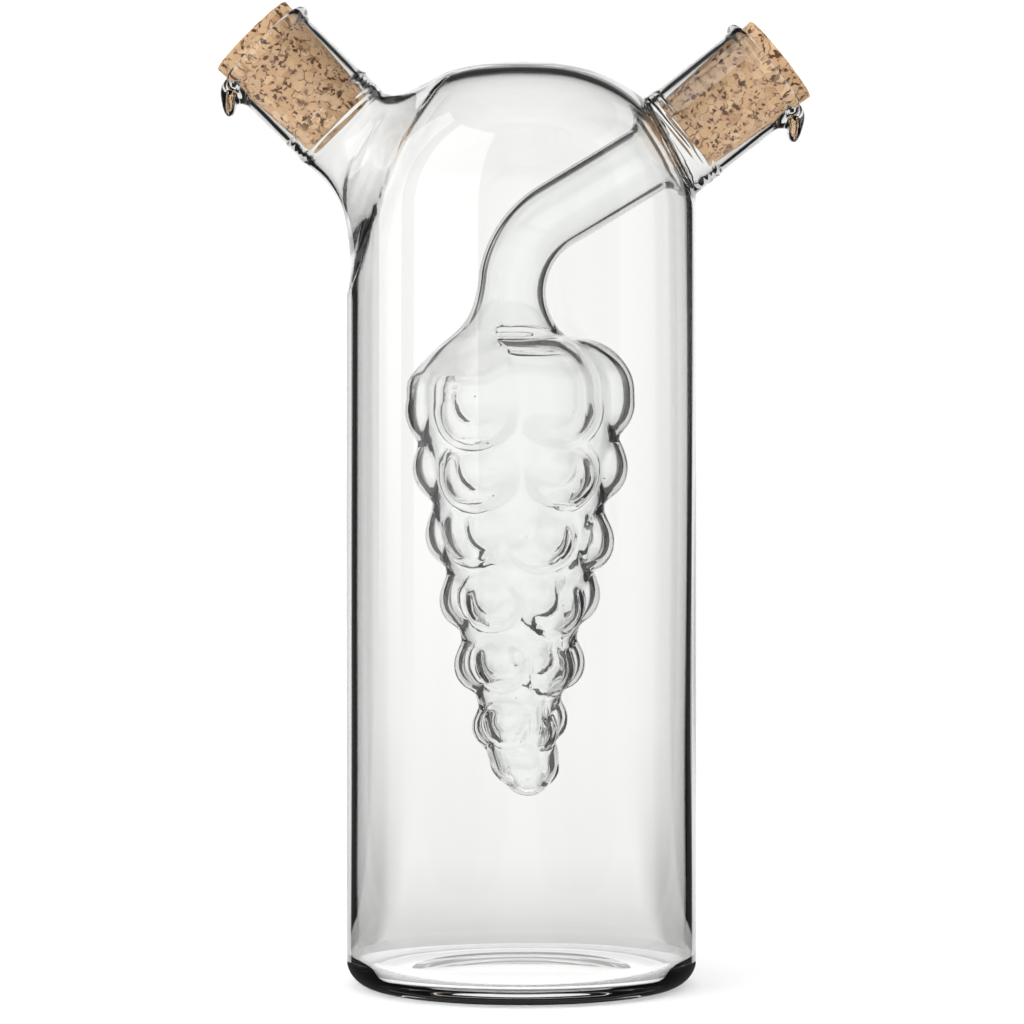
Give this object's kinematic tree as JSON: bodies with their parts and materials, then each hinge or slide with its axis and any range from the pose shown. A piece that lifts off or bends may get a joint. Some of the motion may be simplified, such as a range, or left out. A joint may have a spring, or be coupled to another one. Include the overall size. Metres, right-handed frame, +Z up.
{
  "type": "oil and vinegar cruet",
  "caption": "Blown glass table cruet: a round bottle with corked oil and vinegar necks and a hollow bunch of grapes hanging inside it on a bent tube.",
  "frame": {"origin": "centre of the resting ring, on the table, under the axis of the bottle", "axes": "+Z up along the axis of the bottle, +X towards the vinegar neck, -Y towards the viewer of the picture"},
  "size_m": [0.1086, 0.064, 0.1794],
  "materials": {
    "clear_glass": "polished",
    "pressed_cork": "matte"
  },
  "bodies": {
    "cruet": {"bottle": "clear_glass", "oil_neck": "clear_glass", "vinegar_neck": "clear_glass", "stem_tube": "clear_glass", "grape_flask": "clear_glass"},
    "oil_stopper": {"oil_cork": "pressed_cork"},
    "vinegar_stopper": {"vinegar_cork": "pressed_cork"}
  },
  "joints": [
    {"name": "oil_cork_pull", "type": "slide", "parent": "cruet", "child": "oil_stopper", "axis": [-0.7071, 0, 0.7071], "range_m": [0, 0.045]},
    {"name": "vinegar_cork_pull", "type": "slide", "parent": "cruet", "child": "vinegar_stopper", "axis": [0.7826, 0, 0.6225], "range_m": [0, 0.045]}
  ]
}
